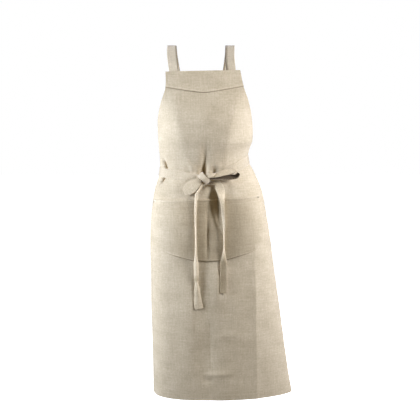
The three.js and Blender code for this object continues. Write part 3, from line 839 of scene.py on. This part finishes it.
def make_pocket():
    line = POCKET_MIDDLE + np.linspace(-POCKET_HALF, POCKET_HALF, POCKET_COLUMNS)
    upper = np.linspace(0, POCKET_UPPER_AT, POCKET_UPPER_ROWS)
    lower = np.linspace(POCKET_LOWER_AT, 1, POCKET_LOWER_ROWS)
    rows = np.concatenate([upper, np.linspace(upper[-1], lower[0], POCKET_ROWS)[1:-1], lower])
    s = np.repeat(line[None, :], len(rows), 0)
    share = np.repeat(rows[:, None], len(line), 1)
    top, bottom = pocket_lines(line)
    z = lerp(top[None, :], bottom[None, :], share)
    points = pocket_points(s, share)
    below, above = top[None, :] - z, z - bottom[None, :]
    at_rim = bell((below - POCKET_RIM) / POCKET_RIM)
    front = POCKET_WALL / 2 + POCKET_RIM_WALL * at_rim
    pocket = cloth_wall("pocket_cloth", points, np.stack([s, z], -1), front, POCKET_WALL / 2, LINEN_SEWN)
    # Painted light and shade on both faces of the pocket
    to_side = np.abs(s - POCKET_MIDDLE) / POCKET_HALF
    line_fade = 1 - smooth((to_side - LINE_FADE_FROM) / (LINE_FADE_TO - LINE_FADE_FROM))
    tone = lerp(1, POCKET_SHADE, line_fade) + edge_painted_light(above) * line_fade
    tone += (TOP_HIGHLIGHT - 1) * at_rim
    off_middle = (s - MIDDLE_SHADE_AT) / MIDDLE_SHADE_REACH
    tone *= 1 - MIDDLE_SHADE * np.exp(-(off_middle**MIDDLE_SHADE_POWER))
    set_painted_light(pocket, np.concatenate([tone.ravel()] * 2))
    seams = sew("pocket_stitches", pocket_seams(), THREAD)
    tacks = sew("pocket_tacks", pocket_tacks(), DARK_THREAD)
    return place(pocket, "pocket")


SHORTEST = 1e-6


# A smooth curve through points at equal steps of the index, as through the solids' paths
def curve_through(points, t):
    points = np.asarray(points, float)
    count = len(points)
    first = 2 * points[0] - points[1]
    final = 2 * points[-1] - points[-2]
    padded = np.concatenate([[first], points, [final]])
    result = []
    for value in t:
        i = min(int(value), count - 2)
        u = value - i
        p0, p1, p2, p3 = padded[i : i + 4]
        pairs = ((p0, p1), (p1, p2), (p2, p3))
        d0, d1, d2 = (max(np.linalg.norm(b - a), SHORTEST) ** 0.5 for a, b in pairs)
        m1 = ((p1 - p0) / d0 - (p2 - p0) / (d0 + d1) + (p2 - p1) / d1) * d1
        m2 = ((p2 - p1) / d1 - (p3 - p1) / (d1 + d2) + (p3 - p2) / d2) * d1
        bend = 3 * (p2 - p1) - 2 * m1 - m2
        result.append(p1 + u * (m1 + u * (bend + u * (m1 + m2 - 2 * (p2 - p1)))))
    return np.array(result)


# A flat strap with rounded edges. Each row of its path is a point, the direction across, the width, how far
# the two halves are folded up lengthwise, in degrees, how far the edges curl, and the painted light or shade
# on its two faces.
Row = namedtuple("Row", "point across width fold curl tone lining", defaults=(0, 0, 1, 1))
FOLD_ROUND = 0.18
FOLD_LEVEL = 0.5
CURL_POWER = 7
EDGE_POWER = 10
ACROSS = np.array([-1, -0.975, -0.9, -0.72, -0.4, 0, 0.4, 0.72, 0.9, 0.975, 1])
RING_SHARE = np.concatenate([ACROSS, ACROSS[-2:0:-1]])
RING_SIZE = len(RING_SHARE)

# Where the lines of sewing lie across a strap, and which of its faces they are on
EdgeSeams = namedtuple("EdgeSeams", "share side")
EDGE_SEAMS = EdgeSeams(np.array([-0.82, 0.82, -0.82, 0.82]), np.array([1, 1, -1, -1]))

# A painted shadow along one edge, where the strap's edge turns away from the light
Rim = namedtuple("Rim", "side reach")
RIM_SHADE = 0.25
RIM_FADE = 0.6

# Small waves all along a strap, and pleats where it comes out of the knot
Pleat = namedtuple("Pleat", "depth fade")
FLAT = Pleat(0, 0)
PLEATS = 2.5
RIPPLE_LENGTH = 30
RIPPLE_ACROSS = 0.7

# Rows at even steps along a path: the length so far, the frame there, and the other columns of the path
Sweep = namedtuple("Sweep", "length middle across normal width fold curl tone lining")
SPAN_STEPS = 40
FEWEST_ROWS = 8


def sweep_path(path, step):
    knots = np.arange(len(path))
    span = np.linspace(0, knots[-1], knots[-1] * SPAN_STEPS + 1)
    points = [row.point for row in path]
    along = along_line(curve_through(points, span))
    length = np.linspace(0, along[-1], max(FEWEST_ROWS, int(along[-1] / step)))
    t = np.interp(length, along, span)
    middle = curve_through(points, t)
    across = curve_through([row.across for row in path], t)
    tangent = unit(np.gradient(middle, axis=0))
    across = unit(across - (across * tangent).sum(1, keepdims=True) * tangent)
    columns = [np.interp(t, knots, column) for column in list(zip(*path))[2:]]
    return Sweep(length, middle, across, np.cross(tangent, across), *columns)


# Faces that close one end of a strap
def end_faces(start, turn):
    faces = [[start + 1, start, start + RING_SIZE - 1]]
    for k in range(2, len(ACROSS) - 1):
        faces.append([start + k, start + k - 1, start + RING_SIZE - k + 1, start + RING_SIZE - k])
    tip = start + len(ACROSS) - 1
    faces.append([tip, tip - 1, tip + 1])
    return [face[::turn] for face in faces]


def strap_faces(count):
    last = (count - 1) * RING_SIZE
    faces = []
    for start in range(0, last, RING_SIZE):
        for k in range(RING_SIZE):
            j = (k + 1) % RING_SIZE
            faces.append([start + k, start + j, start + RING_SIZE + j, start + RING_SIZE + k])
    return faces + end_faces(0, -1) + end_faces(last, 1)


def ribbon(name, path, wall, material, step, ripple, seed, cup=0, pleat=FLAT, rim=None):
    sweep = sweep_path(path, step)
    length = sweep.length
    thick = wall / 2 * np.sqrt(1 - np.abs(ACROSS) ** EDGE_POWER)
    ring_thick = np.concatenate([thick, -thick[-2:0:-1]])

    def ring(i, share, height):
        spots = [Vector((length[i] / RIPPLE_LENGTH, one * RIPPLE_ACROSS, seed)) for one in share]
        lift = ripple * np.array([noise.noise(spot) for spot in spots]) + cup * share**2 + height
        pleated = pleat.depth * math.exp(-length[i] / length[-1] * pleat.fade)
        lift = lift + pleated * np.cos(share * math.pi * PLEATS)
        half = sweep.width[i] / 2
        fold = np.radians(sweep.fold[i])
        lift = lift + half * math.sin(fold) * (np.sqrt(share**2 + FOLD_ROUND**2) - FOLD_LEVEL)
        lift = lift + sweep.curl[i] * np.abs(share) ** CURL_POWER
        side = share * half * math.cos(fold) + np.sign(share) * height * abs(math.sin(fold))
        return sweep.middle[i] + sweep.across[i] * side[:, None] + sweep.normal[i] * lift[:, None]

    vertices, uvs, edges = [], [], []
    for i in range(len(length)):
        vertices.append(ring(i, RING_SHARE, ring_thick))
        uvs.append(np.stack([RING_SHARE * STRAP_WIDTH / 2, np.full(RING_SIZE, length[i])], -1))
        edges.append(ring(i, EDGE_SEAMS.share, EDGE_SEAMS.side * wall / 2))
    faces = strap_faces(len(length))
    obj = new_object(name, np.concatenate(vertices), faces, np.concatenate(uvs), material, STRAP_SHARP)
    # Painted light and shade on the strap's two faces, and a painted shadow along one edge
    painted_lights = np.where(ring_thick[None, :] < 0, sweep.lining[:, None], sweep.tone[:, None])
    if rim is not None:
        inner = RING_SHARE * rim.side - 1 + rim.reach
        painted_lights *= 1 + (RIM_SHADE - 1) * smooth(inner / (RIM_FADE * rim.reach))
    set_painted_light(obj, painted_lights)
    seams = [(line, sweep.normal * side) for line, side in zip(np.stack(edges, 1), EDGE_SEAMS.side)]
    return obj, length[-1], seams


# Shoulder straps: from inside the bib, over the shoulder and down the back to the far back edge. A stop's
# shoulder is a share of shoulder_x, and lift takes a strap further out where the two cross.
INSIDE = -7.3
STRAP_GAP = 1.2
STRAP_STEP = 3
STRAP_RIPPLE = 0.35
STRAP_SEED = 5.5
Stop = namedtuple("Stop", "shoulder y z")
STRAP_ROUTE = [
    Stop(1.04, -44, -32),
    Stop(1.06, 4, 1),
    Stop(1.04, 58, -34),
    Stop(0.88, 84, -100),
    Stop(0, 98, -235),
]
CROSSING = 4
# Each strap carries painted light, the left one more, and a painted shadow along one edge
Strap = namedtuple("Strap", "name sign bib_x shoulder_x lift rim tone")
STRAPS = [
    Strap("shoulder_strap_left", -1, 85, 89, 4, Rim(1, 0.2), 1.34),
    Strap("shoulder_strap_right", 1, 82, 76, 0, Rim(-1, 0.45), 1.1),
]
STRAP_BIB_ENDS = (-116, -101, -86)
FarEnd = namedtuple("FarEnd", "z inset out")
STRAP_FAR_ENDS = [FarEnd(-330, -46, -5), FarEnd(-352, -6, INSIDE - 2), FarEnd(-366, 26, INSIDE - 0.5)]


def level_across(s, z):
    n = smooth_normals(s, z)
    return np.array([-n[1], n[0], 0])


def make_strap(strap):
    path = []
    behind = PANEL_WALL / 2 + STRAP_GAP + STRAP_WALL / 2
    s = strap.sign * strap.bib_x
    for z in STRAP_BIB_ENDS:
        point = cloth_points(np.array([s]), np.array([z]), -behind)[0]
        path.append(Row(point, level_across(s, z), STRAP_WIDTH))
    for i, stop in enumerate(STRAP_ROUTE):
        x = strap.sign * stop.shoulder * strap.shoulder_x
        y = stop.y + (strap.lift if i == CROSSING else 0)
        path.append(Row((x, y, stop.z), (1, 0, 0), STRAP_WIDTH))
    for end in STRAP_FAR_ENDS:
        s = -strap.sign * (edge_length(-strap.sign, end.z) - end.inset)
        point = smooth_points(s, end.z) + smooth_normals(s, end.z) * end.out
        path.append(Row(point, -level_across(s, end.z), STRAP_WIDTH))
    # The strap's painted light, the same on both faces
    path = [row._replace(tone=strap.tone, lining=strap.tone) for row in path]
    obj, length, lines = ribbon(
        strap.name + "_cloth", path, STRAP_WALL, LINEN_STRAP,
        STRAP_STEP, STRAP_RIPPLE, STRAP_SEED + strap.sign, rim=strap.rim,
    )
    seams = sew(strap.name + "_stitches", lines, THREAD)
    return place(obj, strap.name)


# Waist ties: from the knot round over the panel, across the back and under the panel's far edge
TIE_KNOT_Y = -103
TIE_KNOT_WIDTH = 17
TIE_KNOT_REACH = 70
TIE_START = 26
TIE_STEPS = 25
TIE_BACK_STEPS = 9
TIE_END_Z = -412
TIE_END_INSET = 22
TIE_UNDER_AT = 0.8
TIE_OUT = PANEL_WALL / 2 + STRAP_WALL / 2
TIE_PLEAT = Pleat(1.6, 14)
TIE_RIPPLE = 0.4
TIE_SEED = 9.2


def tie_row(s, z, offset, width):
    across = smooth_points(s, z + STRAP_WIDTH / 2) - smooth_points(s, z - STRAP_WIDTH / 2)
    return Row(smooth_points(s, z) + smooth_normals(s, z) * offset, across, width)


def make_tie(tie):
    near_edge = edge_length(tie.sign, tie.side_z)
    path = [Row((tie.knot_x, TIE_KNOT_Y, tie.front_z), (0, 0, 1), TIE_KNOT_WIDTH)]
    for distance in np.linspace(TIE_START, near_edge, TIE_STEPS):
        z = float(tie_height(tie, distance))
        width = lerp(TIE_KNOT_WIDTH, STRAP_WIDTH, smooth((distance - TIE_START) / TIE_KNOT_REACH))
        path.append(tie_row(tie.sign * distance, z, TIE_OUT, width))
    for share in np.linspace(0, 1, TIE_BACK_STEPS)[1:]:
        z = lerp(tie.edge_z, TIE_END_Z, share)
        side = tie.sign if share < 0.5 else -tie.sign
        back = half_at(side, z)
        distance = lerp(back.length[-1], back.edge_length, abs(2 * share - 1))
        early = lerp(TIE_OUT, tie.over, smooth(2 * share))
        late = smooth((share - TIE_UNDER_AT) / (1 - TIE_UNDER_AT))
        path.append(tie_row(side * distance, z, lerp(early, INSIDE, late), STRAP_WIDTH))
    end = edge_length(-tie.sign, TIE_END_Z) - TIE_END_INSET
    path.append(tie_row(-tie.sign * end, TIE_END_Z, INSIDE, STRAP_WIDTH))
    obj, length, lines = ribbon(
        tie.name + "_cloth", path, STRAP_WALL, LINEN_STRAP,
        STRAP_STEP, TIE_RIPPLE, TIE_SEED + tie.sign, pleat=TIE_PLEAT,
    )
    seams = sew(tie.name + "_stitches", lines, THREAD)
    return place(obj, tie.name)


# Bow: loops, hanging ends and knot. swing and rise give the direction across the strap, in degrees, and
# fold closes it lengthwise towards the viewer, or away where it is below 0. curl bends its edges up. The last
# two columns paint shade or light on the strap's two faces: painted shade inside the right loop, at the left
# loop's tip, at the tails' twists and on the right tail's lower end.
Bend = namedtuple("Bend", "x y z swing rise width fold curl tone lining", defaults=(0, 0, 1, 1))
BOW = {
    "bow_loop_left": [
        Bend(-8, -112, -396, 155, 58, 16),
        Bend(-23, -113, -407.5, 160, 57, 32),
        Bend(-38, -111, -420, 165, 56, 38),
        Bend(-50, -108, -428.5, 167, 55, 30, 0, 0, 0.95),
        Bend(-57, -105, -432, 168, 55, 16, 0, 0, 0.7),
        Bend(-46, -103, -425, 170, 56, 20),
        Bend(-30, -103.5, -411, 170, 57, 20),
        Bend(-10, -106, -398, 180, 58, 14),
    ],
    "bow_loop_right": [
        Bend(18, -112, -388, 90, 30, 13, 0, 0, 0.45, 0.2),
        Bend(42, -109, -381.5, 98, 28, 24, 0, 0, 0.86, 0.2),
        Bend(70, -102, -373.5, 106, 30, 28, 0, 0, 0.92, 0.2),
        Bend(95, -95, -369, 106, 19, 28, 0, 0, 0.92, 0.2),
        Bend(104, -92, -377, 104, 14, 28, 0, 0, 0.8, 0.17),
        Bend(98, -94, -386, 104, 21, 28, 0, 0, 0.8, 0.17),
        Bend(76, -100, -389.5, 104, 26, 28, 0, 0, 0.8, 0.17),
        Bend(46, -106, -391, 98, 27, 23, 0, 0, 0.8, 0.17),
        Bend(20, -109, -392.5, 90, 20, 13, 0, 0, 0.5, 0.17),
    ],
    "tie_tail_left": [
        Bend(2, -106, -402, 0, 0, 14, -15),
        Bend(-6, -109, -412, 0, 0, 16, -40),
        Bend(-13, -112, -424, 0, 0, 18, -56),
        Bend(-19, -114, -440, 0, 0, 18, -60),
        Bend(-21, -120.1, -458, 0, 0, 19, -66),
        Bend(-22, -126.1, -512, 0, 0, 20, -76),
        Bend(-21, -129.1, -571, 0, 0, 20, -78),
        Bend(-21, -129.6, -616, 0, 0, 21, -72),
        Bend(-20.5, -128.6, -640, 0, 0, 23, -52),
        Bend(-20, -127.6, -672, 0, 0, 23, -52),
        Bend(-19.5, -126.6, -690, 8, 0, 23, -54, 0, 0.6),
        Bend(-18.5, -126.1, -702, 14, 0, 22, -64, 0, 1.05),
        Bend(-18, -125.6, -717, 4, 0, 23, -45),
        Bend(-17, -124.4, -740, 0, 0, 24, -32),
        Bend(-15, -123.6, -762, 0, 0, 25, -16),
        Bend(-12, -123.4, -779, 0, 0, 25, -5),
    ],
    "tie_tail_right": [
        Bend(12, -108, -406, 0, 72, 8, 0, 0, 0.2),
        Bend(27, -107, -405, 0, 75, 9, 0, 0, 0.3),
        Bend(40, -104, -406, 0, 55, 18, 0, 0, 0.85),
        Bend(47, -104, -416, 8, 28, 26),
        Bend(52, -107.5, -430, 24, 12, 27),
        Bend(56, -113, -444, 42, 4, 27, -15),
        Bend(59, -121.2, -462, 54, 0, 26, -48),
        Bend(60.5, -124.7, -485, 52, 0, 22, -64),
        Bend(61.5, -128.2, -520, 30, 0, 21, -78),
        Bend(61.5, -129.2, -560, 0, 0, 21, -84),
        Bend(61.5, -129.7, -596, 0, 0, 21, -84, 0, 0.95),
        Bend(61, -129.7, -620, 0, 0, 20, -58, 0, 0.75),
        Bend(60, -128.2, -648, 0, 0, 19.5, 8, 0.3, 0.62),
        Bend(59.5, -127.2, -690, 0, 0, 19.5, 8, 0.3, 0.62),
        Bend(59.5, -126.7, -731, 0, 0, 20, 6, 0.3, 0.64),
    ],
}


def bend_row(bend):
    swing, rise = math.radians(bend.swing), math.radians(bend.rise)
    level = math.cos(rise)
    across = (level * math.cos(swing), level * math.sin(swing), math.sin(rise))
    return Row((bend.x, bend.y, bend.z), across, bend.width, bend.fold, bend.curl, bend.tone, bend.lining)


BOW_STEP = 2.0
BOW_RIPPLE = 0.5
BOW_SEED = 30.5
BOW_PLEAT = Pleat(1.4, 12)


def make_bow_piece(name, bends, number):
    path = [bend_row(bend) for bend in bends]
    obj, length, lines = ribbon(
        name + "_cloth", path, STRAP_WALL, LINEN_BOW,
        BOW_STEP, BOW_RIPPLE, BOW_SEED + number, pleat=BOW_PLEAT,
    )
    seams = sew(name + "_stitches", lines, THREAD)
    return place(obj, name)


# The knot: a wrap across it from the upper left to the lower right, and a smaller one on its right
KNOT_WALL = 2.4
KNOT_STEP = 0.8
KNOT_CUP = -0.6
KNOT_RIPPLE = 0.3
KNOT_SEED = 20.5
KNOT_WRAPS = [
    [
        Bend(-8, -100, -378, 0, 44, 16),
        Bend(-3.5, -113, -383.5, 0, 44, 16),
        Bend(2.5, -120.5, -391, 0, 44, 17),
        Bend(4.8, -120.5, -393.5, 0, 44, 17),
        Bend(15.5, -112, -402, 0, 44, 15),
        Bend(17, -101, -404, 0, 42, 14),
    ],
    [
        Bend(6, -111, -384, 90, 65, 10),
        Bend(16, -117, -383, 90, 62, 14),
        Bend(27, -114, -381, 90, 62, 11),
        Bend(36, -105, -380, 90, 66, 7),
        Bend(40, -97, -380, 90, 70, 5),
    ],
]


def make_knot():
    parts = []
    for number, wrap in enumerate(KNOT_WRAPS):
        path = [bend_row(bend) for bend in wrap]
        part, length, _ = ribbon(
            "bow_knot_wrap", path, KNOT_WALL, LINEN_STRAP,
            KNOT_STEP, KNOT_RIPPLE, KNOT_SEED + number, cup=KNOT_CUP,
        )
        parts.append(part)
    with bpy.context.temp_override(active_object=parts[0], selected_editable_objects=parts):
        bpy.ops.object.join()
    knot = parts[0]
    knot.name = "bow_knot_cloth"
    return place(knot, "bow_knot")


make_panel()
make_band()
make_pocket()
make_knot()
for strap in STRAPS:
    make_strap(strap)
for tie in TIES:
    make_tie(tie)
for number, (name, bends) in enumerate(BOW.items()):
    make_bow_piece(name, bends, number)

# Floor, light and camera, in metres
FLOOR_Z = -1.42
FLOOR_REACH = 14
FLOOR_COLOUR = (0.93, 0.93, 0.92)
FLOOR_ROUGHNESS = 0.9
FLOOR_GLOW = 1.0
WHITE = (1, 1, 1, 1)


# A white floor that the cloth gets no light from
def make_floor():
    material = bpy.data.materials.new("pale_floor")
    material.use_nodes = True
    surface = material.node_tree.nodes["Principled BSDF"]
    surface.inputs["Base Color"].default_value = (*FLOOR_COLOUR, 1)
    surface.inputs["Roughness"].default_value = FLOOR_ROUGHNESS
    surface.inputs["Emission Color"].default_value = WHITE
    surface.inputs["Emission Strength"].default_value = FLOOR_GLOW
    mesh = bpy.data.meshes.new("floor")
    corners = [(-1, -1, 0), (1, -1, 0), (1, 1, 0), (-1, 1, 0)]
    mesh.from_pydata([Vector(corner) * FLOOR_REACH for corner in corners], [], [(0, 1, 2, 3)])
    mesh.materials.append(material)
    floor = add_to_scene("floor", mesh)
    floor.location.z = FLOOR_Z
    floor.visible_diffuse = False


FILL_LIGHT = 0.115
FILL_COLOUR = (1, 0.885, 0.61)


# A white background for the camera, and a weak warm fill light for the cloth
def make_world():
    world = bpy.data.worlds.new("studio")
    world.use_nodes = True
    tree = world.node_tree
    sky = tree.nodes["Background"]
    seen = add_node(tree, "ShaderNodeLightPath").outputs["Is Camera Ray"]
    colour = add_node(tree, "ShaderNodeMixRGB")
    colour.inputs["Color1"].default_value = (*FILL_COLOUR, 1)
    colour.inputs["Color2"].default_value = WHITE
    tree.links.new(seen, colour.inputs["Fac"])
    tree.links.new(colour.outputs["Color"], sky.inputs["Color"])
    strength = add_node(tree, "ShaderNodeMapRange")
    strength.inputs["To Min"].default_value = FILL_LIGHT
    strength.inputs["To Max"].default_value = 1
    tree.links.new(seen, strength.inputs["Value"])
    tree.links.new(strength.outputs["Result"], sky.inputs["Strength"])
    bpy.context.scene.world = world


Softbox = namedtuple("Softbox", "name place aim width height power colour")
SOFTBOXES = [
    Softbox("left_softbox", (-1.3, -0.42, -0.28), (0, 0, -0.33), 0.6, 0.8, 31.4, (0.92, 1.045, 1.37)),
    Softbox("key_softbox", (1.39, -0.8, 0.16), (0, 0, -0.24), 0.4, 0.5, 30.5, (0.95, 1.02, 1.24)),
    Softbox("right_softbox", (1.5, -0.15, -0.3), (0, 0, -0.4), 0.5, 0.9, 10.5, (0.92, 1.02, 1.4)),
    Softbox("back_softbox", (0.4, 1.9, 0), (0, 0, -0.55), 1, 1.2, 12, (1, 1, 1)),
    Softbox("top_softbox", (0.25, -0.6, 1.4), (0, 0, -0.4), 0.8, 0.8, 3, (1, 1, 1)),
]


def make_softbox(box):
    lamp = bpy.data.lights.new(box.name, "AREA")
    lamp.shape = "RECTANGLE"
    lamp.size, lamp.size_y = box.width, box.height
    lamp.energy = box.power
    lamp.color = box.colour
    obj = add_to_scene(box.name, lamp)
    obj.location = box.place
    obj.rotation_euler = (Vector(box.aim) - Vector(box.place)).to_track_quat("-Z", "Y").to_euler()


# The lens and the sensor are in millimetres, the pitch is in degrees down
CAMERA_PLACE = (0.0205, -2.5, -0.207)
CAMERA_PITCH = 6.63
CAMERA_LENS = 70
CAMERA_SENSOR = 36


def make_camera():
    lens = bpy.data.cameras.new("camera")
    lens.lens = CAMERA_LENS
    lens.sensor_width = CAMERA_SENSOR
    camera = add_to_scene("camera", lens)
    camera.location = CAMERA_PLACE
    camera.rotation_euler = (math.radians(90 - CAMERA_PITCH), 0, 0)
    bpy.context.scene.camera = camera


make_floor()
make_world()
for box in SOFTBOXES:
    make_softbox(box)
make_camera()
bpy.context.scene.view_settings.view_transform = "Standard"
